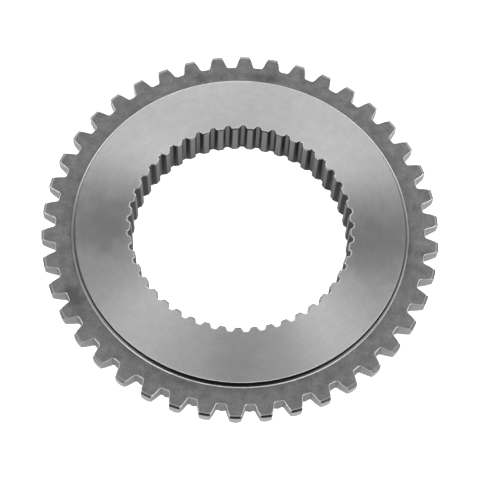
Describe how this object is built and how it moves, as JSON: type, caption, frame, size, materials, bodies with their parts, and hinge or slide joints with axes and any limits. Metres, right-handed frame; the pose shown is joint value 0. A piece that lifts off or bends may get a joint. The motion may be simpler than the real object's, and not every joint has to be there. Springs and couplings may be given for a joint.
{
  "type": "synchronizer ring",
  "caption": "Steel gearbox synchronizer ring with pointed coupling teeth round the rim, a raised turned face, a splined bore and a short friction cone underneath.",
  "frame": {"origin": "centre of the lower face, on the ring's axis", "axes": "+Z along the ring's axis, towards the raised turned face; +X through the middle of one coupling tooth"},
  "size_m": [0.163, 0.1628, 0.0193],
  "materials": {
    "ring_steel": "turned raised face, darker matt rim and teeth"
  },
  "bodies": {
    "root": {"synchronizer_ring": "ring_steel"}
  },
  "joints": []
}
